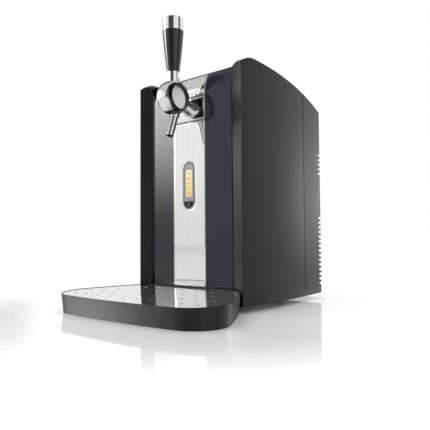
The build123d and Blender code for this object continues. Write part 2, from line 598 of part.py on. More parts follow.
# ---------------------------------------------------------------- door insulation
pour_z = BALL_Z - (BALL_FORWARD + STRIP_BACK) * tan(radians(TAP_TILT))
nut_r = 14.0
nut_y = (core_y[0] + core_wall, core_y[0] + core_wall + 5.0)
foam_inset = core_wall + FIT
door_foam = block((core_x[0] + foam_inset, core_x[1] - foam_inset), (core_y[0] + foam_inset, core_y[1] - FIT),
                  (core_z[0] + foam_inset, core_z[1] - BROW_SOLID - FIT))
door_foam &= door_bulk(PILLAR_SWEEP, core_skin + foam_inset)
door_foam -= stadium(DISPLAY_HALF + 2 * FIT, (strip_y[0], bezel_y[1] + FIT))
door_foam -= rod((0, core_y[0], pour_z), (0, core_y[1] + 1, pour_z), nut_r + FIT)

liner_y = (core_y[1] + FIT, core_y[1] + FIT + LINER_SHEET)
plug_z = (CHAMBER_FLOOR + PLUG_LOW_MARGIN, CHAMBER_TOP - PLUG_HIGH_MARGIN)
door_liner = block(core_x, liner_y, core_z)
plug_y = (liner_y[1], liner_y[1] + PLUG_DEPTH)
plug = block((-PLUG_HALF, PLUG_HALF), plug_y, plug_z)
plug = fillet(plug.edges().filter_by(Axis.Y), 8.0)
door_liner += plug
hollow = block((-PLUG_HALF + 2, PLUG_HALF - 2), (liner_y[0] - 1, plug_y[1] - 2),
               (plug_z[0] + 2, plug_z[1] - 2))
door_liner -= fillet(hollow.edges().filter_by(Axis.Y), 6.0)
plug_foam = block((-PLUG_HALF + 2 + FIT, PLUG_HALF - 2 - FIT), (liner_y[0], plug_y[1] - 2 - FIT),
                  (plug_z[0] + 2 + FIT, plug_z[1] - 2 - FIT))
plug_foam = fillet(plug_foam.edges().filter_by(Axis.Y), 6.0)
stub_end = liner_y[1] + 6.0
door_liner -= rod((0, liner_y[0] - 1, pour_z), (0, stub_end, pour_z), STUB_R + FIT)

# ================================================================ seal, latch and hinge
gasket_x = (core_x[0] + 0.5, core_x[1] - 0.5)
gasket_y = (liner_y[1] + FIT / 3, frame_y[0] - FIT)
gasket_z = (mouth_z[0] - GASKET_WIDTH - 0.5, mouth_z[1] + GASKET_WIDTH + 0.5)
door_gasket = block(gasket_x, gasket_y, gasket_z)
door_gasket -= block((gasket_x[0] + GASKET_WIDTH, gasket_x[1] - GASKET_WIDTH),
                     (gasket_y[0] - 1, gasket_y[1] + 1),
                     (gasket_z[0] + GASKET_WIDTH, gasket_z[1] - GASKET_WIDTH))
latch_magnet = block(LATCH_X, gasket_y, LATCH_Z)
latch_keeper = block(LATCH_X, (frame_y[0], frame_y[0] + KEEPER), LATCH_Z)
front_frame -= block((LATCH_X[0] - FIT, LATCH_X[1] + FIT), (frame_y[0] - 1, frame_y[0] + KEEPER + FIT / 3),
                     (LATCH_Z[0] - FIT, LATCH_Z[1] + FIT))

pin_x = -DOORWAY_HALF + HINGE_GAP / 2
pin_y = fy(HINGE_BACK)
hinge_pin = rod((pin_x, pin_y, HINGE_Z[0] - 1), (pin_x, pin_y, HINGE_Z[1] + 1), HINGE_PIN_R)
frame_leaf_x = (pin_x - HINGE_BARREL_R, pin_x - HINGE_BARREL_R + HINGE_LEAF)
door_leaf_x = (door_x[0] - FIT / 3 - HINGE_LEAF, door_x[0] - FIT / 3)


def hinge_leaf(leaf_x, leaf_end, numbers):
    """Leaf plate with the barrel knuckles of these numbers, bored for the pin."""
    length = (HINGE_Z[1] - HINGE_Z[0]) / KNUCKLES
    leaf = block(leaf_x, (pin_y + HINGE_CLEAR, leaf_end), HINGE_Z)
    for number in numbers:
        low = HINGE_Z[0] + number * length + KNUCKLE_GAP / 2
        high = low + length - KNUCKLE_GAP
        leaf += rod((pin_x, pin_y, low), (pin_x, pin_y, high), HINGE_BARREL_R)
        leaf += block(leaf_x, (pin_y, pin_y + HINGE_CLEAR), (low, high))
    return leaf - rod((pin_x, pin_y, 0), (pin_x, pin_y, CREST_HEIGHT), HINGE_PIN_R + HINGE_RUNNING)


hinge_frame_leaf = hinge_leaf(frame_leaf_x, frame_y[0] - FIT / 3, range(0, KNUCKLES, 2))
hinge_door_leaf = hinge_leaf(door_leaf_x, core_y[1], range(1, KNUCKLES, 2))

# ================================================================ tap
centre = Vector(0, fy(-BALL_FORWARD), BALL_Z)
tilt = radians(TAP_TILT)
inward = Vector(0, cos(tilt), -sin(tilt))
downward = Vector(0, -sin(tilt), -cos(tilt))
elbow = centre + inward * ELBOW
plate_point = (0, strip_y[0], pour_z)


def ball_of(radius):
    return Pos(*centre) * Sphere(radius)


def sector(start, end, half):
    """Wedge about the ball's centre, its angles measured forward from straight up."""
    reach = 2 * BALL_R
    parts = ceil((end - start) / 30)
    angles = [radians(start + (end - start) * number / parts) for number in range(parts + 1)]
    rim = [(centre.Y - reach * sin(a), centre.Z + reach * cos(a)) for a in angles]
    outline = [(centre.Y, centre.Z)] + rim
    return extrude(Plane.YZ * make_face(Polyline(*outline, close=True)), half, both=True)


def across(radius, half):
    """Round bar through the ball from side to side."""
    return rod((-half, centre.Y, centre.Z), (half, centre.Y, centre.Z), radius)


tap_shank = rod(centre + inward * SHANK_START, centre + inward * (2 * BALL_R), SHANK_R)
tap_shank &= block((-SHANK_R, SHANK_R), (centre.Y, strip_y[0] - FIT / 3),
                   (pour_z - 2 * BALL_R, centre.Z + BALL_R))
tap_shank += rod((0, strip_y[0] - FLANGE, pour_z), (0, strip_y[0] - FIT / 3, pour_z), FLANGE_R)
tap_shank += rod((0, strip_y[0] - FLANGE, pour_z), (0, stub_end, pour_z), STUB_R)
tap_shank -= rod(elbow, plate_point, SHANK_BORE_R) + rod(plate_point, (0, stub_end + 1, pour_z), SHANK_BORE_R)
stub_hole = rod((0, strip_y[0] - 1, pour_z), (0, stub_end, pour_z), STUB_R + FIT / 3)
tap_plate -= stub_hole
door_frame -= stub_hole
hexagon = Plane((0, nut_y[0] + FIT / 3, pour_z), z_dir=(0, 1, 0)) * RegularPolygon(nut_r, 6)
tap_nut = extrude(hexagon, nut_y[1] - nut_y[0])
tap_nut -= stub_hole

tap_ball = ball_of(BALL_R) & block((-CHEEK_CUT, CHEEK_CUT), (FRONT - TRAY_OUT, FRONT), (0, CAP_TOP))
cheek = across(CHEEK_RECESS_R, BALL_R) - across(CHEEK_RECESS_R + 1, CHEEK_FLOOR)
tap_ball -= cheek
tap_ball -= sector(-WEB_HALF_ANGLE - 4, LEVER_OPEN + WEB_HALF_ANGLE + 4, SLOT_HALF)
tap_ball -= across(HUB_R + FIT, SLOT_HALF) + across(PIN_R + FIT / 3, BALL_R)
tap_ball -= rod(centre + inward * (SHANK_START - FIT), centre + inward * (2 * BALL_R), SHANK_R + FIT / 3)
tap_ball -= rod(elbow + downward * (SPOUT_START - FIT), elbow + downward * SPOUT_END, SPOUT_R + FIT / 3)
tap_ball -= rod(elbow, elbow + downward * SPOUT_START, SHANK_BORE_R) + rod(elbow, plate_point, SHANK_BORE_R)
shield_zone = sector(SHIELD_START - 1, SHIELD_END + 1, STRAP_HALF + FIT / 3)
tap_ball -= shield_zone - ball_of(SHIELD_INNER_R - FIT / 3)
tap_shield = ball_of(SHIELD_OUTER_R) - ball_of(SHIELD_INNER_R)
tap_shield &= sector(SHIELD_START, SHIELD_END, STRAP_HALF)

disc_x = (CHEEK_FLOOR + FIT / 3, CHEEK_FLOOR + FIT / 3 + CHEEK_DISC)
pivot_disc = rod((disc_x[0], centre.Y, centre.Z), (disc_x[1], centre.Y, centre.Z), CHEEK_RECESS_R - FIT)
dish_edge = CHEEK_RECESS_R - FIT - CHEEK_RIM
dish_r = (dish_edge**2 + CHEEK_DISH**2) / (2 * CHEEK_DISH)
pivot_disc -= Pos(disc_x[1] - CHEEK_DISH + dish_r, centre.Y, centre.Z) * Sphere(dish_r)
pivot_discs = [pivot_disc, mirrored(pivot_disc)]
pivot_pin = across(PIN_R, CHEEK_FLOOR)

web_half = SLOT_HALF - FIT
tap_lever = sector(-WEB_HALF_ANGLE, WEB_HALF_ANGLE, web_half) & ball_of(SADDLE_INNER_R + 0.5)
tap_lever += across(HUB_R, web_half)
shell = ball_of(SADDLE_OUTER_R) - ball_of(SADDLE_INNER_R)
tap_lever += shell & rod(centre, (0, centre.Y, CAP_TOP), SADDLE_R)
tap_lever += shell & sector(0, STRAP_END, STRAP_HALF)
tap_lever -= across(PIN_R + HINGE_RUNNING, BALL_R)

collar_zone = rod(centre, (0, centre.Y, COLLAR_TOP), COLLAR_R)
lever_collar = fillet(collar_zone.edges().group_by(Axis.Z)[-1], 1.0) - ball_of(SADDLE_OUTER_R + FIT / 3)
rod_bottom = centre.Z + SADDLE_OUTER_R + FIT / 3
rod_top = GRIP_TOP + (CAP_TOP - GRIP_TOP) / 2
handle_rod = rod((0, centre.Y, rod_bottom), (0, centre.Y, rod_top), ROD_R)
rod_hole = rod(centre, (0, centre.Y, rod_top + FIT), ROD_R + FIT / 3)
lever_collar -= rod_hole
grip_bottom = COLLAR_TOP + FIT / 3
grip_middle = ((GRIP_NECK_R + GRIP_HEAD_R) / 2 + GRIP_BULGE, (grip_bottom + GRIP_TOP) / 2)
flank = ThreePointArc((GRIP_NECK_R, grip_bottom), grip_middle, (GRIP_HEAD_R, GRIP_TOP))
outline = Polyline((GRIP_HEAD_R, GRIP_TOP), (0, GRIP_TOP), (0, grip_bottom), (GRIP_NECK_R, grip_bottom))
handle_grip = Pos(0, centre.Y, 0) * revolve(Plane.XZ * make_face([flank, outline]), Axis.Z) - rod_hole
cap_shoulder = CAP_TOP - CAP_DOME
dome = ThreePointArc((-GRIP_HEAD_R, cap_shoulder), (0, CAP_TOP), (GRIP_HEAD_R, cap_shoulder))
half_dome = ThreePointArc((0, CAP_TOP), dome @ 0.75, (GRIP_HEAD_R, cap_shoulder))
cap_bottom = GRIP_TOP + FIT / 3
cap_sides = Polyline((GRIP_HEAD_R, cap_shoulder), (GRIP_HEAD_R, cap_bottom), (0, cap_bottom), (0, CAP_TOP))
cap_face = make_face([half_dome, cap_sides])
cap_face = fillet(cap_face.vertices().group_by(Axis.X)[-1].sort_by(Axis.Y)[-1], 1.5)
handle_cap = Pos(0, centre.Y, 0) * revolve(Plane.XZ * cap_face, Axis.Z) - rod_hole

spout_zone = rod(elbow + downward * SPOUT_START, elbow + downward * SPOUT_END, SPOUT_R)
flange_zone = rod(elbow + downward * (SPOUT_START - 1), elbow + downward * SPOUT_FLANGE_END, SPOUT_FLANGE_R)
spout = spout_zone + (flange_zone - ball_of(BALL_R + FIT / 3))
spout -= rod(elbow, elbow + downward * (SPOUT_END + 1), SPOUT_BORE_R)

# ================================================================ drip tray
def tray_face(inset=0.0):
    """Tray seen from above: bowed front and rear edges, round corners, sides that draw in to the rear."""
    ends = fy(-TRAY_OUT + TRAY_BOW)
    rear = fy(-TRAY_GAP)
    bow = ThreePointArc((-TRAY_FRONT_HALF, ends), (0, fy(-TRAY_OUT)), (TRAY_FRONT_HALF, ends))
    back = ThreePointArc((TRAY_REAR_HALF, rear), (0, rear + TRAY_REAR_BOW), (-TRAY_REAR_HALF, rear))
    side = Line((TRAY_FRONT_HALF, ends), (TRAY_REAR_HALF, rear))
    face = make_face([bow, side, back, mirrored(side)])
    face = fillet(face.vertices().group_by(Axis.Y)[0], TRAY_FRONT_ROUND)
    face = fillet(face.vertices().group_by(Axis.Y)[-1], TRAY_REAR_ROUND)
    return offset(face, -inset) if inset else face


def under_rim(sink):
    """Everything from the floor up to the tray's sloping rim plane, lowered by sink."""
    rear = fy(TRAY_REAR_BOW - TRAY_GAP)
    points = [(fy(-TRAY_OUT), TRAY_FRONT_TOP - sink), (rear, TRAY_REAR_TOP - sink), (rear, -1.0),
              (fy(-TRAY_OUT), -1.0)]
    return extrude(Plane.YZ * make_face(Polyline(*points, close=True)), 2 * TRAY_FRONT_HALF, both=True)


def tray_column(inset, low):
    return Pos(0, 0, low) * extrude(tray_face(inset), TRAY_REAR_TOP + 1 - low)


lofted = extrude(Pos(0, 0, TRAY_REAR_TOP) * tray_face(), TRAY_REAR_TOP, dir=(0, 0, -1), taper=TRAY_DRAFT)
drip_tray = lofted & under_rim(0)
drip_tray -= tray_column(TRAY_RIM, 0) - under_rim(COVER_SINK + COVER_SHEET + FIT / 3)
drip_tray -= tray_column(TRAY_RIM + COVER_LEDGE, TRAY_FLOOR)
tongue_z = (BASE_BOTTOM - FIT - TONGUE_SHEET, BASE_BOTTOM - FIT)
tongue_y = (fy(-TONGUE_ROOT), fy(TONGUE_REACH))
tongue = block((TONGUE_X - TONGUE_HALF, TONGUE_X + TONGUE_HALF), tongue_y, tongue_z)
drip_tray += tongue + mirrored(tongue)

drip_cover = tray_column(TRAY_RIM + FIT, 0) & (under_rim(COVER_SINK) - under_rim(COVER_SINK + COVER_SHEET))
hole_zone = tray_face(HOLE_MARGIN)
hole_rows = [fy(-TRAY_OUT / 2 + 5.0 + HOLE_PITCH_Y * (row - 1.5)) for row in range(4)]
hole_columns = [HOLE_PITCH_X * (column - 4.5) for column in range(10)]
for y in hole_rows:
    for x in hole_columns:
        if hole_zone.is_inside((x, y, 0)):
            drip_cover -= rod((x, y, 0), (x, y, TRAY_REAR_TOP + 1), HOLE_R)

# ================================================================ files
nodes = {
    "base_chassis": base, "rubber_feet": Compound(children=feet), "side_shell_right": side_shell,
    "side_shell_left": mirrored(side_shell), "top_lid": top_lid, "rear_cover": rear_cover,
    "rear_screws": Compound(children=rear_screws), "front_frame": front_frame, "chamber_liner": liner,
    "insulation": foam, "chamber_ceiling": ceiling, "keg_coupler": coupler, "cold_block": cold_block,
    "cooler_module": cooler_module, "heat_sink": heat_sink, "fan_frame": fan_frame, "fan_rotor": fan_rotor,
    "air_pump": air_pump, "pump_bracket": pump_bracket, "air_pipe": air_pipe, "power_board": power_board,
    "control_board": control_board, "mains_inlet": mains_inlet, "door_frame": door_frame,
    "door_foam": door_foam, "door_liner": door_liner, "plug_foam": plug_foam, "door_gasket": door_gasket,
    "panel_right": panel_right, "panel_left": panel_left, "strip_lower": strip_lower,
    "tap_plate": tap_plate, "strip_upper": strip_upper, "display_bezel": bezel,
    "display_window": display_window, "display_lcd": lcd, "display_board": display_board,
    "display_led": led, "power_button": power_button, "button_switch": button_switch,
    "latch_magnet": latch_magnet, "latch_keeper": latch_keeper, "hinge_pin": hinge_pin,
    "hinge_frame_leaf": hinge_frame_leaf, "hinge_door_leaf": hinge_door_leaf, "tap_shank": tap_shank,
    "tap_nut": tap_nut, "tap_ball": tap_ball, "tap_shield": tap_shield,
    "pivot_discs": Compound(children=pivot_discs), "pivot_pin": pivot_pin, "tap_lever": tap_lever,
    "lever_collar": lever_collar, "handle_rod": handle_rod, "handle_grip": handle_grip,
    "handle_cap": handle_cap, "spout": spout, "drip_tray": drip_tray, "drip_cover": drip_cover,
}
os.makedirs("parts", exist_ok=True)
for node, shape in nodes.items():
    save(node, shape)
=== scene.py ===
# %% [markdown]
# # Mini keg beer dispenser
# The solids of this machine come from a CAD model, already in metres and in place. This lesson gives
# them their finishes, adds the fine trim that CAD leaves out, and sets up a small white studio.

# %% Load the solids
import bpy
import bmesh
import math
from mathutils import Matrix, Vector


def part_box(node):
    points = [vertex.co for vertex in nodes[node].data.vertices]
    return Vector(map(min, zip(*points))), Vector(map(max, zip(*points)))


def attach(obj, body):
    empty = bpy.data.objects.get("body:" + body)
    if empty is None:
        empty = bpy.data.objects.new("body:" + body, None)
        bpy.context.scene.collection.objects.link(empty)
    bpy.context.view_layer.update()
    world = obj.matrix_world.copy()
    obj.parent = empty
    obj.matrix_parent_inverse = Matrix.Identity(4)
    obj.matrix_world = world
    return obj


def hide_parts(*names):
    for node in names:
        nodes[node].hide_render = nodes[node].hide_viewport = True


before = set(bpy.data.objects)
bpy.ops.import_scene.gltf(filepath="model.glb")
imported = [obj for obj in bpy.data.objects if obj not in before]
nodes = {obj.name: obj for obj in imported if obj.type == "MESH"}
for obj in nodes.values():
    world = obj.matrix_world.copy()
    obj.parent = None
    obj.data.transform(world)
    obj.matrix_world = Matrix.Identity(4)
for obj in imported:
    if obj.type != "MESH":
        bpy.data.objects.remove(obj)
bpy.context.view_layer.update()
scene = bpy.context.scene


# %% Units and colours
def mm(*values):
    """Millimetres to the metres that the scene is built in."""
    metres = [value / 1000 for value in values]
    return metres[0] if len(metres) == 1 else Vector(metres)


def scale_for(size):
    """The scale at which a texture's pattern has this size, in millimetres."""
    return 1000.0 / size


def linear(hex_code):
    """An sRGB hex colour as the linear colour that a shader expects."""
    parts = [int(hex_code[i:i + 2], 16) / 255 for i in (1, 3, 5)]
    return [c / 12.92 if c <= 0.04045 else ((c + 0.055) / 1.055) ** 2.4 for c in parts] + [1.0]


# %% [markdown]
# ## Camera
# The machine is seen from its front right, from just above the height of the tray, looking slightly
# upwards. A real lens there is a little longer than normal. The camera is placed from given numbers: its
# position is a point, and its turn is built from the direction it looks in.

# %% Camera
CAMERA_AT = mm(561.1, -674.2, 119.8)
YAW, PITCH, ROLL = math.radians(38.86), math.radians(2.72), math.radians(-0.39)
SENSOR = 36.0
FRAME_WIDTH = 430
FOCAL_PIXELS = 485.4
forward = Vector((-math.sin(YAW) * math.cos(PITCH), math.cos(YAW) * math.cos(PITCH), math.sin(PITCH)))
level_right = Vector((math.cos(YAW), math.sin(YAW), 0))
level_up = level_right.cross(forward)
right = level_right * math.cos(ROLL) + level_up * math.sin(ROLL)
up = level_up * math.cos(ROLL) - level_right * math.sin(ROLL)
camera_data = bpy.data.cameras.new("studio_camera")
camera_data.sensor_width = SENSOR
camera_data.lens = FOCAL_PIXELS / FRAME_WIDTH * SENSOR
camera = bpy.data.objects.new("studio_camera", camera_data)
scene.collection.objects.link(camera)
turn = Matrix((right, up, -forward)).transposed().to_4x4()
camera.matrix_world = Matrix.Translation(CAMERA_AT) @ turn
scene.camera = camera
scene.view_settings.view_transform = "Standard"
print("lens:", round(camera_data.lens, 1), "mm")


# %% [markdown]
# ## A helper for node trees
# Every finish is a small tree of nodes, and so is every pattern of repeated parts. One function adds a
# node, sets its values and wires its inputs, so that each tree reads as a short list.

# %% Node helper
def node(tree, kind, inputs=None, **settings):
    """Adds a node. inputs maps socket names or numbers to a value, or to the socket that feeds them."""
    made = tree.nodes.new(kind)
    for name, value in settings.items():
        setattr(made, name, value)
    for name, value in (inputs or {}).items():
        socket = made.inputs[name]
        if isinstance(value, bpy.types.NodeSocket):
            tree.links.new(value, socket)
        else:
            socket.default_value = value
    return made


def new_material(name):
    """An empty material and its tree, with the object's own coordinates ready to use."""
    material = bpy.data.materials.new(name)
    material.use_nodes = True
    tree = material.node_tree
    tree.nodes.clear()
    coordinates = node(tree, "ShaderNodeTexCoord").outputs["Object"]
    return material, tree, coordinates


def finish_material(tree, shader):
    node(tree, "ShaderNodeOutputMaterial", {"Surface": shader.outputs[0]})


# %% [markdown]
# ## Plastics
# Most of the machine is moulded plastic. Three things tell one from another: how dark it is, how sharp
# the light is that it throws back, and how fine the texture of its mould was. A soft cloud of noise moves
# the roughness and the tint a little, as handling and moulding do. A finer noise lifts the surface as
# bump, and under both of them the corners are softened, because no mould has a sharp edge.

# %% Plastic maker
CLOUD_SIZE, CLOUD_DETAIL = 70.0, 4.0
GRAIN_STRENGTH, GRAIN_DETAIL = 0.6, 2.0
EDGE_SAMPLES = 6
PLASTIC_IOR = 1.5


def moulded(name, colour, roughness, spread, grain_mm, grain_height, edge_mm, specular=0.5):
    """A moulded plastic: two tints, roughness and its spread, mould texture and softened edges."""
    material, tree, place = new_material(name)
    cloud = node(tree, "ShaderNodeTexNoise", {"Vector": place, "Scale": scale_for(CLOUD_SIZE),
                                              "Detail": CLOUD_DETAIL})
    rough = node(tree, "ShaderNodeMapRange", {"Value": cloud.outputs["Fac"], "To Min": roughness - spread,
                                              "To Max": roughness + spread})
    tint = node(tree, "ShaderNodeMixRGB", {"Fac": cloud.outputs["Fac"], "Color1": linear(colour[0]),
                                           "Color2": linear(colour[1])})
    grain = node(tree, "ShaderNodeTexNoise", {"Vector": place, "Scale": scale_for(grain_mm),
                                              "Detail": GRAIN_DETAIL})
    edge = node(tree, "ShaderNodeBevel", {"Radius": mm(edge_mm)}, samples=EDGE_SAMPLES)
    bump = node(tree, "ShaderNodeBump", {"Height": grain.outputs["Fac"], "Distance": mm(grain_height),
                                         "Strength": GRAIN_STRENGTH, "Normal": edge.outputs[0]})
    shader = node(tree, "ShaderNodeBsdfPrincipled", {
        "Base Color": tint.outputs[0], "Roughness": rough.outputs[0], "Normal": bump.outputs[0],
        "IOR": PLASTIC_IOR, "Specular IOR Level": specular})
    finish_material(tree, shader)
    return material


# %% [markdown]
# The blacks of this machine differ more in gloss than in colour. The door's panels are almost a mirror
# with a cool cast, the side shells are satin, and the rear cover, lid and base carry a fine spark-eroded
# grain. Sizes of grain are in millimetres; the finest are drawn a little coarser than they are, so that
# they show.

# %% Black plastics
# High-gloss acrylic over ABS: sharp reflections on a blue-black ground, with a trace of orange peel.
door_gloss = moulded("door_gloss_black_acrylic", ("#282d35", "#2d323a"), 0.07, 0.02, 9.0, 0.004, 0.8, 0.3)
# ABS against a polished tool: broad soft highlights.
side_satin = moulded("side_satin_black_abs", ("#121214", "#161618"), 0.30, 0.03, 1.6, 0.010, 1.6, 0.27)
# Spark-eroded ABS of the rear, lid and base: fine grain, dull.
grained = moulded("grained_black_abs", ("#161618", "#1c1c1e"), 0.40, 0.05, 1.0, 0.025, 0.9, 0.27)
# The tray's ABS, satin.
tray_satin = moulded("tray_satin_black_abs", ("#161618", "#1c1c1e"), 0.36, 0.04, 1.3, 0.012, 1.4, 0.32)
# Ordinary ABS of what lies inside: fan, sockets, door core.
inner_black = moulded("inner_matt_black_abs", ("#0e0e0f", "#151516"), 0.55, 0.06, 1.0, 0.030, 0.5)
# Polished resin of the tap's ball, and the handle's satin grip.
tap_black = moulded("tap_polished_black_resin", ("#060607", "#0a0a0b"), 0.08, 0.02, 6.0, 0.003, 0.5)
grip_black = moulded("grip_satin_black_resin", ("#1e1e20", "#242426"), 0.17, 0.03, 1.2, 0.008, 0.6)
button_black = moulded("button_gloss_black_abs", ("#060607", "#0a0a0c"), 0.12, 0.02, 3.0, 0.004, 0.5, 0.3)
# Seals and feet: rubber scatters light widely and is never quite black.
rubber_black = moulded("rubber_black_matt", ("#141414", "#1e1e1d"), 0.72, 0.08, 1.2, 0.05, 0.5, 0.35)
print("black plastics:", len(bpy.data.materials))

# %% Other plastics
# Food-safe white ABS of the chamber; graphite foam, beady and dull, around it.
liner_white = moulded("liner_white_abs", ("#d9d9d4", "#e2e2de"), 0.32, 0.04, 1.6, 0.015, 0.6)
foam_grey = moulded("graphite_polystyrene_foam", ("#26272a", "#35363a"), 0.88, 0.05, 3.2, 0.35, 0.8, 0.3)
# Smoked polycarbonate of the display window, and the frame round it.
smoked = moulded("window_smoked_polycarbonate", ("#a9a9ad", "#bfbfc3"), 0.06, 0.02, 8.0, 0.002, 1.2)
bezel_grey = moulded("bezel_satin_silver_abs", ("#7c7c82", "#8d8d93"), 0.24, 0.04, 0.9, 0.006, 0.5)
ceramic = moulded("ceramic_white_plate", ("#d8d8d2", "#e4e4df"), 0.55, 0.05, 0.5, 0.02, 0.3)
tube_clear = moulded("tube_milky_silicone", ("#a9afb2", "#bcc2c4"), 0.35, 0.05, 2.0, 0.02, 0.3)
magnet_dark = moulded("magnet_bonded_ferrite", ("#1c1b1b", "#272625"), 0.55, 0.08, 0.7, 0.03, 0.4)
led_lens = moulded("led_lens_dark_red", ("#4a0d0a", "#5c120e"), 0.15, 0.03, 3.0, 0.005, 0.2)
mark_ink = moulded("mark_printed_grey_ink", ("#8a7a55", "#94845e"), 0.45, 0.03, 0.8, 0.004, 0.1)
print("plastics:", len(bpy.data.materials))

# %% [markdown]
# ## Circuit boards
# Solder mask is a green lacquer over copper. Where a track runs under it the green is lighter, so a
# brick pattern with thin mortar stands for the tracks.

# %% Circuit board
TRACK_PITCH, TRACK_LENGTH, TRACK_GAP = 3.5, 2.6, 0.06
TRACK_HEIGHT = 0.05
board_green, tree, place = new_material("circuit_board_green_mask")
laid = node(tree, "ShaderNodeMapping", {"Vector": place, "Rotation": (math.radians(90), 0, 0)})
tracks = node(tree, "ShaderNodeTexBrick", {
    "Vector": laid.outputs[0], "Color1": linear("#0e3d22"), "Color2": linear("#124a29"),
    "Mortar": linear("#2b7a45"), "Scale": scale_for(TRACK_PITCH), "Mortar Size": TRACK_GAP,
    "Brick Width": TRACK_LENGTH, "Row Height": 1.0})
lift = node(tree, "ShaderNodeBump", {"Height": tracks.outputs["Fac"], "Distance": mm(TRACK_HEIGHT)})
shader = node(tree, "ShaderNodeBsdfPrincipled", {"Base Color": tracks.outputs["Color"], "Roughness": 0.28,
                                                 "Normal": lift.outputs[0]})
finish_material(tree, shader)
print("board tracks every", TRACK_PITCH, "mm")


# %% [markdown]
# ## Metals
# Polished metal has almost no colour of its own: what shows is the room. Its life comes from a roughness
# that is nearly nothing, faint wiping marks that follow one direction, and a surface that isn't perfectly
# flat. Edges are rolled or broken, and that thin round catches a line of light.

# %% Metal maker
RIPPLE_SIZE, RIPPLE_STRENGTH = 110.0, 0.5
MARKS_FAINT, MARKS_STRONG = 0.35, 0.75


def metal(name, colour, roughness, spread, stretch, marks_mm, ripple, edge_mm, metallic=1.0):
    """A metal: two tints, roughness and its spread, marks drawn out by stretch, and a slow ripple."""
    material, tree, place = new_material(name)
    drawn = node(tree, "ShaderNodeMapping", {"Vector": place, "Scale": stretch})
    marks = node(tree, "ShaderNodeTexNoise", {"Vector": drawn.outputs[0], "Scale": scale_for(marks_mm),
                                              "Detail": 5.0})
    rough = node(tree, "ShaderNodeMapRange", {"Value": marks.outputs["Fac"], "From Min": MARKS_FAINT,
                                              "From Max": MARKS_STRONG, "To Min": roughness - spread,
                                              "To Max": roughness + spread})
    tint = node(tree, "ShaderNodeMixRGB", {"Fac": marks.outputs["Fac"], "Color1": linear(colour[0]),
                                           "Color2": linear(colour[1])})
    wave = node(tree, "ShaderNodeTexNoise", {"Vector": place, "Scale": scale_for(RIPPLE_SIZE),
                                             "Detail": 1.0})
    edge = node(tree, "ShaderNodeBevel", {"Radius": mm(edge_mm)}, samples=EDGE_SAMPLES)
    bump = node(tree, "ShaderNodeBump", {"Height": wave.outputs["Fac"], "Distance": mm(ripple),
                                         "Strength": RIPPLE_STRENGTH, "Normal": edge.outputs[0]})
    shader = node(tree, "ShaderNodeBsdfPrincipled", {
        "Base Color": tint.outputs[0], "Metallic": metallic, "Roughness": rough.outputs[0],
        "Normal": bump.outputs[0]})
    finish_material(tree, shader)
    return material


# %% Metals
UPRIGHT, SIDEWAYS, EVEN = (1.0, 1.0, 0.05), (0.1, 1.0, 1.0), (1.0, 1.0, 1.0)
# Stainless sheet of the door's strip and of the tray's cover, mirror polished and wiped.
strip_steel = metal("strip_mirror_polished_steel", ("#e4e3e1", "#eeedeb"), 0.05, 0.03, UPRIGHT, 11.0,
                    0.02, 5.0)
cover_steel = metal("cover_mirror_polished_steel", ("#cfd0d2", "#dcddde"), 0.09, 0.05, SIDEWAYS, 12.0,
                    0.04, 0.5, 0.92)
# Bright chromium plate of the tap and the handle.
chromium = metal("chromium_plate_bright", ("#e2e3e4", "#eeeeef"), 0.04, 0.02, EVEN, 16.0, 0.02, 0.6)
# Satin silver lacquer of the two discs in the ball's cheeks: it scatters more than it mirrors.
disc_silver = metal("disc_satin_silver_lacquer", ("#f8f8f8", "#fefefe"), 0.22, 0.05, EVEN, 5.0,
                    0.02, 1.0, 0.05)
# Zinc plate, black passivated on the hinge so that its gap stays dark.
plain_steel = metal("steel_zinc_plated", ("#a4a6a8", "#b9babb"), 0.30, 0.10, UPRIGHT, 8.0, 0.05, 0.3)
hinge_steel = metal("steel_black_passivated", ("#2a2b2d", "#38393b"), 0.40, 0.10, UPRIGHT, 8.0, 0.05, 0.3)
aluminium = metal("aluminium_extruded_bare", ("#b5b6b8", "#c6c7c8"), 0.32, 0.08, UPRIGHT, 5.0, 0.05, 0.3)
brass = metal("brass_turned_nut", ("#b8924a", "#cba75e"), 0.25, 0.08, SIDEWAYS, 6.0, 0.04, 0.4)
print("materials:", len(bpy.data.materials))

# %% [markdown]
# ## Display face
# Behind the smoked window lies a pale yellow panel that glows a little. Its colour and its glow are paler
# towards the top and a deeper yellow towards the bottom.

# %% Display face
GLOW = 0.30
PANEL_BOTTOM, PANEL_TOP = 192.0, 238.0
lcd_face, tree, place = new_material("display_pale_yellow_panel")
fall = node(tree, "ShaderNodeSeparateXYZ", {"Vector": place})
height = node(tree, "ShaderNodeMapRange", {"Value": fall.outputs["Z"], "From Min": mm(PANEL_BOTTOM),
                                           "From Max": mm(PANEL_TOP)})
pale = node(tree, "ShaderNodeMixRGB", {"Fac": height.outputs[0], "Color1": linear("#f0c878"),
                                       "Color2": linear("#fbe6b0")})
shader = node(tree, "ShaderNodeBsdfPrincipled", {"Base Color": pale.outputs[0], "Roughness": 0.22,
                                                 "Emission Color": pale.outputs[0],
                                                 "Emission Strength": GLOW})
finish_material(tree, shader)
print("display glow:", GLOW)

# %% [markdown]
# ## Every solid gets its finish
# The CAD solids keep their shape. Each one only has its material slot filled.

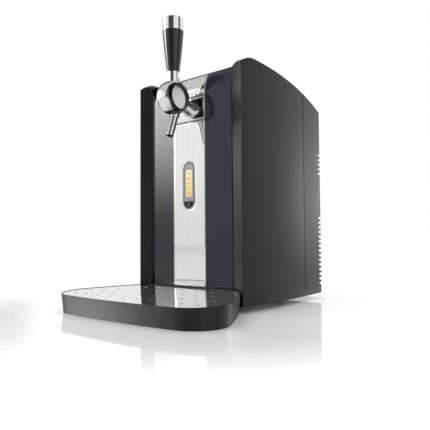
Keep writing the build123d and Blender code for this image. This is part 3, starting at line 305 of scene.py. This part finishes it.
# %% Give the solids their finishes
finishes = {
    door_gloss: ["panel_left", "panel_right"],
    side_satin: ["side_shell_left", "side_shell_right"],
    grained: ["base_chassis", "top_lid", "rear_cover"],
    inner_black: ["door_frame", "keg_coupler", "fan_frame", "fan_rotor", "mains_inlet", "button_switch",
                  "front_frame"],
    tray_satin: ["drip_tray"],
    tap_black: ["tap_ball"],
    grip_black: ["handle_grip"],
    button_black: ["power_button"],
    rubber_black: ["rubber_feet", "door_gasket"],
    liner_white: ["chamber_liner", "chamber_ceiling", "door_liner"],
    foam_grey: ["insulation", "door_foam", "plug_foam"],
    smoked: ["display_window"],
    bezel_grey: ["display_bezel"],
    lcd_face: ["display_lcd"],
    led_lens: ["display_led"],
    ceramic: ["cooler_module"],
    tube_clear: ["air_pipe"],
    board_green: ["power_board", "control_board", "display_board"],
    magnet_dark: ["latch_magnet"],
    strip_steel: ["strip_lower", "tap_plate", "strip_upper"],
    cover_steel: ["drip_cover"],
    chromium: ["tap_shank", "tap_shield", "tap_lever", "lever_collar", "handle_cap", "spout"],
    disc_silver: ["pivot_discs"],
    plain_steel: ["rear_screws", "air_pump", "pump_bracket", "latch_keeper", "pivot_pin", "handle_rod"],
    hinge_steel: ["hinge_pin", "hinge_frame_leaf", "hinge_door_leaf"],
    aluminium: ["cold_block", "heat_sink"],
    brass: ["tap_nut"],
}
for material, names in finishes.items():
    for name in names:
        for slot in nodes[name].material_slots:
            slot.material = material
print("solids with a finish:", sum(len(names) for names in finishes.values()), "of", len(nodes))


# %% [markdown]
# ## Rear screws
# Four pan-head screws hold the rear cover. Each has a cross recess, cut here with a boolean, and its head
# is turned to its own angle, because nobody lines them up. Geometry Nodes put the one screw on the four
# corners of a grid and turn each copy by a seeded random angle.

# %% One screw
def mesh_object(name, mesh):
    made = bpy.data.objects.new(name, mesh)
    scene.collection.objects.link(made)
    return made


def baked(source, name):
    """A plain mesh of what an object's modifiers make, in a new object; the source is removed."""
    evaluated = source.evaluated_get(bpy.context.evaluated_depsgraph_get())
    mesh = bpy.data.meshes.new_from_object(evaluated)
    mesh.name = name
    bpy.data.objects.remove(source)
    return mesh_object(name, mesh)


def turned(name, profile, steps):
    """A body of revolution about Z from a profile of radius and height pairs."""
    mesh = bpy.data.meshes.new(name)
    shape = bmesh.new()
    line = [shape.verts.new(mm(radius, 0, height)) for radius, height in profile]
    edges = [shape.edges.new(pair) for pair in zip(line, line[1:])]
    bmesh.ops.spin(shape, geom=line + edges, cent=(0, 0, 0), axis=(0, 0, 1), angle=math.tau, steps=steps)
    bmesh.ops.remove_doubles(shape, verts=shape.verts, dist=mm(0.001))
    bmesh.ops.recalc_face_normals(shape, faces=shape.faces)
    shape.to_mesh(mesh)
    shape.free()
    return mesh_object(name, mesh)


SCREW_LENGTH, SCREW_RADIUS = 12.0, 1.5
HEAD_RADIUS, HEAD_HEIGHT = 3.2, 2.0
RECESS_WIDTH, RECESS_REACH, RECESS_DEPTH = 0.7, 1.7, 1.1
profile = [(0, -SCREW_LENGTH), (SCREW_RADIUS, 0.4 - SCREW_LENGTH), (SCREW_RADIUS, 0), (HEAD_RADIUS, 0),
           (HEAD_RADIUS, 0.9), (2.75, 1.5), (1.8, 1.88), (0, HEAD_HEIGHT)]
plain_screw = turned("plain_screw", profile, 32)
cutter_mesh = bpy.data.meshes.new("cross_cutter")
cutter_shape = bmesh.new()
for size in ((RECESS_REACH, RECESS_WIDTH / 2), (RECESS_WIDTH / 2, RECESS_REACH)):
    stretch = Matrix.Diagonal(mm(2 * size[0], 2 * size[1], 2 * RECESS_DEPTH).to_4d())
    lift = Matrix.Translation(mm(0, 0, HEAD_HEIGHT))
    bmesh.ops.create_cube(cutter_shape, matrix=lift @ stretch)
cutter_shape.to_mesh(cutter_mesh)
cutter_shape.free()
cutter = mesh_object("cross_cutter", cutter_mesh)
cut = plain_screw.modifiers.new("cross_recess", "BOOLEAN")
cut.object = cutter
cut.solver = "EXACT"
cut.use_self = True
one_screw = baked(plain_screw, "one_screw")
bpy.data.objects.remove(cutter)
print("one screw:", len(one_screw.data.polygons), "faces")

# %% [markdown]
# A Geometry Nodes tree is made like a material's tree, on a new group whose sockets are its inputs. The
# tree ends in Realize Instances, because copies that are only instances are lost when the model is
# written to a file, and in Set Material.

# %% Pattern helpers
def pattern_tree(name, inputs):
    """A geometry tree with these named inputs, each a (name, socket kind) pair."""
    tree = bpy.data.node_groups.new(name, "GeometryNodeTree")
    for label, kind in inputs:
        tree.interface.new_socket(label, in_out="INPUT", socket_type=kind)
    tree.interface.new_socket("Geometry", in_out="OUTPUT", socket_type="NodeSocketGeometry")
    return tree, node(tree, "NodeGroupInput")


def end_pattern(tree, copies, given):
    real = node(tree, "GeometryNodeRealizeInstances", {"Geometry": copies})
    coated = node(tree, "GeometryNodeSetMaterial", {"Geometry": real.outputs[0],
                                                    "Material": given.outputs["Material"]})
    node(tree, "NodeGroupOutput", {"Geometry": coated.outputs[0]})


def run_pattern(tree, name, values):
    """Runs a tree on an empty mesh with these input values and returns the plain mesh it makes."""
    holder = mesh_object(name + "_holder", bpy.data.meshes.new(name + "_holder"))
    modifier = holder.modifiers.new("pattern", "NODES")
    modifier.node_group = tree
    for item in tree.interface.items_tree:
        if item.in_out == "INPUT":
            modifier[item.identifier] = values[item.name]
    made = baked(holder, name)
    print(name + ":", len(made.data.polygons), "faces")
    return made


# %% Screws on the rear cover
tree, given = pattern_tree("screw_grid", [
    ("Spread Across", "NodeSocketFloat"), ("Spread Up", "NodeSocketFloat"), ("Centre", "NodeSocketVector"),
    ("Screw", "NodeSocketObject"), ("Seed", "NodeSocketInt"), ("Material", "NodeSocketMaterial")])
grid = node(tree, "GeometryNodeMeshGrid", {"Size X": given.outputs["Spread Across"],
                                           "Size Y": given.outputs["Spread Up"],
                                           "Vertices X": 2, "Vertices Y": 2})
angle = node(tree, "FunctionNodeRandomValue", {"Seed": given.outputs["Seed"]}, data_type="FLOAT")
angle.inputs[3].default_value = math.tau
spin = node(tree, "ShaderNodeCombineXYZ", {"Z": angle.outputs[1]})
body = node(tree, "GeometryNodeObjectInfo", {"Object": given.outputs["Screw"]})
copies = node(tree, "GeometryNodeInstanceOnPoints", {"Points": grid.outputs[0], "Rotation": spin.outputs[0],
                                                     "Instance": body.outputs["Geometry"]})
stood = node(tree, "GeometryNodeTransform", {"Geometry": copies.outputs[0],
                                             "Translation": given.outputs["Centre"],
                                             "Rotation": (math.radians(-90), 0, 0)})
end_pattern(tree, stood.outputs[0], given)
low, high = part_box("rear_screws")
rear_face = high[1] - mm(HEAD_HEIGHT)
screws = run_pattern(tree, "rear_cross_screws", {
    "Spread Across": high[0] - low[0] - mm(2 * HEAD_RADIUS),
    "Spread Up": high[2] - low[2] - mm(2 * HEAD_RADIUS),
    "Centre": ((low[0] + high[0]) / 2, rear_face, (low[2] + high[2]) / 2), "Screw": one_screw, "Seed": 4,
    "Material": plain_steel})
bpy.data.objects.remove(one_screw)
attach(screws, "cabinet")
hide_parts("rear_screws")

# %% [markdown]
# ## Marks on the display
# The pale panel carries a column of plain bars for how full the keg is, with a thin short line between
# each two. They are a film's thickness above the panel and sit under the smoked window's face.

# %% Bars of the gauge
tree, given = pattern_tree("bar_gauge", [
    ("Bars", "NodeSocketInt"), ("Pitch", "NodeSocketFloat"), ("Bar Size", "NodeSocketVector"),
    ("First", "NodeSocketVector"), ("Material", "NodeSocketMaterial")])
step = node(tree, "ShaderNodeCombineXYZ", {"Z": given.outputs["Pitch"]})
line = node(tree, "GeometryNodeMeshLine", {"Count": given.outputs["Bars"],
                                           "Start Location": given.outputs["First"],
                                           "Offset": step.outputs[0]}, mode="OFFSET")
bar = node(tree, "GeometryNodeMeshCube", {"Size": given.outputs["Bar Size"]})
copies = node(tree, "GeometryNodeInstanceOnPoints", {"Points": line.outputs[0], "Instance": bar.outputs[0]})
end_pattern(tree, copies.outputs[0], given)
FILM = 0.08
BARS, BAR_PITCH, BAR_WIDTH, BAR_HEIGHT = 5, 8.6, 6.0, 1.5
TICK_WIDTH, TICK_HEIGHT = 3.0, 0.5
FIRST_BAR = 5.8
FIRST_TICK = FIRST_BAR + BAR_PITCH / 2
low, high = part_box("display_lcd")
film_y = low[1] - mm(FILM / 2)
gauge = run_pattern(tree, "display_gauge_bars", {
    "Bars": BARS, "Pitch": mm(BAR_PITCH), "Bar Size": mm(BAR_WIDTH, FILM, BAR_HEIGHT),
    "First": ((low[0] + high[0]) / 2, film_y, low[2] + mm(FIRST_BAR)), "Material": mark_ink})
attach(gauge, "door")
scale_line = run_pattern(tree, "display_scale_line", {
    "Bars": BARS - 1, "Pitch": mm(BAR_PITCH), "Bar Size": mm(TICK_WIDTH, FILM, TICK_HEIGHT),
    "First": ((low[0] + high[0]) / 2, film_y, low[2] + mm(FIRST_TICK)), "Material": mark_ink})
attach(scale_line, "door")

# %% [markdown]
# ## Power mark
# The button carries the common on-and-off mark: an open ring with a short stroke in its gap. It is a thin
# curve with a round bevel, half sunk in the button's face, made a mesh before it rides on the button.

# %% Power mark
MARK_RADIUS, MARK_LINE = 2.1, 0.22
RING_GAP = math.radians(38)
RING_STEPS = 24
MARK_INSET, MARK_RISE = 0.06, 0.4
low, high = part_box("power_button")
mark_at = Vector(((low[0] + high[0]) / 2, low[1] + mm(MARK_INSET), (low[2] + high[2]) / 2 + mm(MARK_RISE)))
mark_curve = bpy.data.curves.new("power_mark", "CURVE")
mark_curve.dimensions = "3D"
mark_curve.bevel_depth = mm(MARK_LINE)
mark_curve.bevel_resolution = 2
ring_angles = [RING_GAP + (math.tau - 2 * RING_GAP) * i / RING_STEPS for i in range(RING_STEPS + 1)]
ring = [mm(MARK_RADIUS * math.sin(a), 0, MARK_RADIUS * math.cos(a)) for a in ring_angles]
stroke = [mm(0, 0, MARK_RADIUS * 1.25), mm(0, 0, MARK_RADIUS * 0.2)]
for points in (ring, stroke):
    spline = mark_curve.splines.new("POLY")
    spline.points.add(len(points) - 1)
    for point, place in zip(spline.points, points):
        point.co = (mark_at + place).to_4d()
mark_curve.use_fill_caps = True
power_mark = baked(mesh_object("power_mark_curve", mark_curve), "power_mark")
mark_white = moulded("mark_printed_white_ink", ("#c9c9cc", "#d6d6d8"), 0.45, 0.03, 0.8, 0.004, 0.1)
power_mark.data.materials.append(mark_white)
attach(power_mark, "button")
print("power mark:", len(power_mark.data.polygons), "faces")

# %% [markdown]
# ## Room
# A polished thing shows its room, so the room is drawn as carefully as the machine. It is white, and
# that white is what the camera and the metal see. For gloss alone, dark cards stand in it: a wide one in
# front, which puts the black bands on the chromium, and a narrow one on each side, which darkens the
# edges. Walls darken a little towards the floor and more towards the ceiling. Two soft glows are
# brighter than the walls: a tall one at the front left, which runs down the left panel and the grip, and
# a low one behind on the right, which lifts the rear of the side. All are drawn by direction: an azimuth,
# in degrees to the right of the front, and a height between -1 straight down and 1 straight up. The light
# that falls on matt surfaces stays even.

# %% Room
DIFFUSE_LEVEL = 0.75
# Each card starts and ends at an azimuth, with a soft edge this wide, and takes this share of the light.
CARDS = ((-4, 46, 7, 0.92), (108, 122, 8, 0.88), (-117, -93, 6, 0.75))
# A glow climbs between its first pair of heights and drops between its second.
LEFT_GLOW, LEFT_EDGES, LEFT_SOFT = 14.0, (-70, -49), 3
LEFT_CLIMB, LEFT_DROP = (0.02, 0.33), (0.42, 0.56)
REAR_GLOW, REAR_START, REAR_FULL = 3.8, 151, 165
REAR_CLIMB, REAR_DROP = (-0.10, 0.05), (0.08, 0.28)
# The level of the walls at the top and at the bottom, and the heights that it changes between.
CEILING, CEILING_HEIGHTS = 0.66, (0.34, 0.60)
HORIZON, HORIZON_HEIGHTS = 0.86, (-0.02, 0.20)
world = bpy.data.worlds.new("white_room")
world.use_nodes = True
scene.world = world
tree = world.node_tree
tree.nodes.clear()
direction = node(tree, "ShaderNodeTexCoord").outputs["Generated"]
parts = node(tree, "ShaderNodeSeparateXYZ", {"Vector": direction})
front = node(tree, "ShaderNodeMath", {0: parts.outputs["Y"], 1: -1.0}, operation="MULTIPLY")
angle = node(tree, "ShaderNodeMath", {0: parts.outputs["X"], 1: front.outputs[0]}, operation="ARCTAN2")
azimuth = node(tree, "ShaderNodeMath", {0: angle.outputs[0]}, operation="DEGREES")


def ramp(value, start, end, low, high):
    """A smooth step of the world tree from low to high, between two values."""
    return node(tree, "ShaderNodeMapRange", {"Value": value, "From Min": start, "From Max": end,
                                             "To Min": low, "To Max": high},
                interpolation_type="SMOOTHSTEP").outputs[0]


height = parts.outputs["Z"]
level = node(tree, "ShaderNodeMath", {0: ramp(height, *CEILING_HEIGHTS, 1.0, CEILING),
                                      1: ramp(height, *HORIZON_HEIGHTS, HORIZON, 1.0)},
             operation="MULTIPLY").outputs[0]
for start, end, soft, depth in CARDS:
    rise = ramp(azimuth.outputs[0], start - soft, start, 0.0, 1.0)
    fall = ramp(azimuth.outputs[0], end, end + soft, 1.0, 0.0)
    card = node(tree, "ShaderNodeMath", {0: rise, 1: fall}, operation="MULTIPLY")
    dim = node(tree, "ShaderNodeMath", {0: card.outputs[0], 1: -depth, 2: 1.0}, operation="MULTIPLY_ADD")
    level = node(tree, "ShaderNodeMath", {0: level, 1: dim.outputs[0]}, operation="MULTIPLY").outputs[0]


def with_glow(before, turned_in, turned_out, climb, drop, amount):
    """The level with light added: two ramps of azimuth and two of height, multiplied, and its amount."""
    total = amount
    for factor in (turned_in, turned_out, climb, drop):
        total = node(tree, "ShaderNodeMath", {0: factor, 1: total}, operation="MULTIPLY").outputs[0]
    return node(tree, "ShaderNodeMath", {0: before, 1: total}).outputs[0]


level = with_glow(level, ramp(azimuth.outputs[0], LEFT_EDGES[0] - LEFT_SOFT, LEFT_EDGES[0], 0.0, 1.0),
                  ramp(azimuth.outputs[0], LEFT_EDGES[1], LEFT_EDGES[1] + LEFT_SOFT, 1.0, 0.0),
                  ramp(height, *LEFT_CLIMB, 0.0, 1.0), ramp(height, *LEFT_DROP, 1.0, 0.0), LEFT_GLOW)
level = with_glow(level, ramp(azimuth.outputs[0], REAR_START, REAR_FULL, 0.0, 1.0), 1.0,
                  ramp(height, *REAR_CLIMB, 0.0, 1.0), ramp(height, *REAR_DROP, 1.0, 0.0), REAR_GLOW)
seen = node(tree, "ShaderNodeLightPath")
matt = node(tree, "ShaderNodeMapRange", {"Value": seen.outputs["Is Glossy Ray"], "To Min": DIFFUSE_LEVEL,
                                         "To Max": level})
clear = node(tree, "ShaderNodeMath", {0: seen.outputs["Is Camera Ray"],
                                      1: seen.outputs["Is Transmission Ray"]}, operation="MAXIMUM")
strength = node(tree, "ShaderNodeMapRange", {"Value": clear.outputs[0], "To Min": matt.outputs[0],
                                             "To Max": 1.0})
sky = node(tree, "ShaderNodeBackground", {"Color": (1, 1, 1, 1), "Strength": strength.outputs[0]})
node(tree, "ShaderNodeOutputWorld", {"Surface": sky.outputs[0]})
print("cards in the room:", len(CARDS))

# %% [markdown]
# ## Floor
# The machine stands on white acrylic. Its matt part carries the shadow, and a little light of its own
# brings it to white for the camera; in mirrors it stays a light grey. Close to the machine ambient
# occlusion dims that glow, which paints a shade under the machine and a thin dark line at the contact. Its
# gloss is strongest round the machine and fades with distance, as on a polished sheet that curves up into
# the backdrop.

# %% Floor
FLOOR_REACH = 6.0
FLOOR_LIFT = 0.46
MIRROR_LIFT = 0.16
CONTACT_REACH, CONTACT_SAMPLES = 28.0, 8
FLOOR_GLOSS, FLOOR_ROUGHNESS = 0.44, 0.06
GLOSS_NEAR, GLOSS_FAR = 290.0, 540.0
floor_mesh = bpy.data.meshes.new("studio_floor")
corners = [(-1, -1), (1, -1), (1, 1), (-1, 1)]
floor_mesh.from_pydata([(x * FLOOR_REACH, y * FLOOR_REACH, 0) for x, y in corners], [], [(0, 1, 2, 3)])
floor = mesh_object("studio_floor", floor_mesh)
floor_white, tree, place = new_material("floor_white_acrylic")
seen = node(tree, "ShaderNodeLightPath")
mirrored = node(tree, "ShaderNodeMath", {0: seen.outputs["Is Glossy Ray"], 1: MIRROR_LIFT},
                operation="MULTIPLY")
lift = node(tree, "ShaderNodeMath", {0: seen.outputs["Is Camera Ray"], 1: FLOOR_LIFT,
                                     2: mirrored.outputs[0]}, operation="MULTIPLY_ADD")
# Ambient occlusion dims the floor's own glow near the machine: a painted contact shade.
painted_contact_shade = node(tree, "ShaderNodeAmbientOcclusion", {"Distance": mm(CONTACT_REACH)},
                samples=CONTACT_SAMPLES)
lifted = node(tree, "ShaderNodeMath", {0: painted_contact_shade.outputs["AO"], 1: lift.outputs[0]}, operation="MULTIPLY")
shine = node(tree, "ShaderNodeEmission", {"Color": (1, 1, 1, 1), "Strength": lifted.outputs[0]})
matt = node(tree, "ShaderNodeBsdfDiffuse", {"Color": linear("#e7e7e7")})
plain = node(tree, "ShaderNodeAddShader", {0: matt.outputs[0], 1: shine.outputs[0]})
far = node(tree, "ShaderNodeVectorMath", {0: place}, operation="LENGTH")
fade = node(tree, "ShaderNodeMapRange", {"Value": far.outputs["Value"], "From Min": mm(GLOSS_NEAR),
                                         "From Max": mm(GLOSS_FAR), "To Min": FLOOR_GLOSS, "To Max": 0.0},
            interpolation_type="SMOOTHSTEP")
polish = node(tree, "ShaderNodeBsdfGlossy", {"Color": (1, 1, 1, 1), "Roughness": FLOOR_ROUGHNESS})
shader = node(tree, "ShaderNodeMixShader", {0: fade.outputs[0], 1: plain.outputs[0], 2: polish.outputs[0]})
finish_material(tree, shader)
floor_mesh.materials.append(floor_white)
print("floor:", 2 * FLOOR_REACH, "m wide")


# %% [markdown]
# ## Lamps
# A soft lamp in front, above the machine, gives the matt surfaces a direction and the machine its shadow.
# A second one, low on the right, lights the discs in the ball's cheeks. Neither shows in gloss, where the
# room alone is seen.

# %% Lamps
LAMP_AIM = mm(0, 60, 200)
LAMP_DISTANCE = 2.8
LAMP_SIZE = 1.2


def lamp(name, azimuth, rise, radiance):
    """A square lamp at an azimuth right of the front and a height angle, aimed at the machine's middle."""
    heading, climb = math.radians(azimuth), math.radians(rise)
    away = Vector((math.sin(heading) * math.cos(climb), -math.cos(heading) * math.cos(climb),
                   math.sin(climb)))
    data = bpy.data.lights.new(name, "AREA")
    data.shape = "RECTANGLE"
    data.size = data.size_y = LAMP_SIZE
    data.energy = radiance * math.pi * LAMP_SIZE * LAMP_SIZE
    made = bpy.data.objects.new(name, data)
    made.location = LAMP_AIM + away * LAMP_DISTANCE
    made.rotation_euler = (-away).to_track_quat("-Z", "Y").to_euler()
    made.visible_camera = made.visible_glossy = False
    scene.collection.objects.link(made)


lamp("front_soft_lamp", -30, 48, 1.6)
lamp("right_soft_lamp", 72, 24, 3.2)
